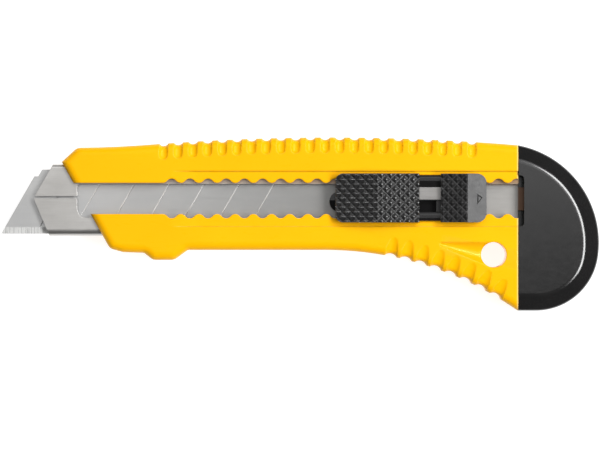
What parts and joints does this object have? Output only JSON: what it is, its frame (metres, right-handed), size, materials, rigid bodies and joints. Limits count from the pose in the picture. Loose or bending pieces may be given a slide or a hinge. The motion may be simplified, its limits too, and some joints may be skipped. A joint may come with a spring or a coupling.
{
  "type": "utility knife",
  "caption": "Snap-off utility knife: moulded handle with a steel blade channel, knurled thumb slider with detents and lock, and a pull-off end cap.",
  "frame": {"origin": "under the middle of the knife's bounding box, on the back face that it lies on", "axes": "+X from the blade's tip towards the end cap, +Y towards the blade's spine, +Z out of the face with the thumb slider"},
  "size_m": [0.1678, 0.0486, 0.0182],
  "materials": {
    "handle_plastic": "smooth moulded yellow ABS",
    "rail_steel": "rolled sheet, satin",
    "blade_steel": "ground carbon steel",
    "slider_plastic": "smooth black moulding",
    "spring_steel": "bright spring strip",
    "pad_plastic": "knurled black moulding",
    "lock_plastic": "knurled black moulding with a brushed ramp",
    "cap_plastic": "smooth black moulding"
  },
  "bodies": {
    "handle": {"handle_body": "handle_plastic", "blade_rail": "rail_steel"},
    "slider": {"slider_carrier": "slider_plastic", "thumb_pad": "pad_plastic", "blade": "blade_steel", "detent_spring": "spring_steel"},
    "lock": {"lock_slider": "lock_plastic"},
    "cap": {"end_cap": "cap_plastic"}
  },
  "joints": [
    {"name": "blade_slide", "type": "slide", "parent": "handle", "child": "slider", "axis": [-1, 0, 0], "range_m": [-0.01018, 0.06617], "deforming": ["detent_spring"]},
    {"name": "lock_slide", "type": "slide", "parent": "slider", "child": "lock", "axis": [-1, 0, 0], "range_m": [0, 0.0055]},
    {"name": "cap_pull", "type": "slide", "parent": "handle", "child": "cap", "axis": [1, 0, 0], "range_m": [0, 0.03]}
  ]
}
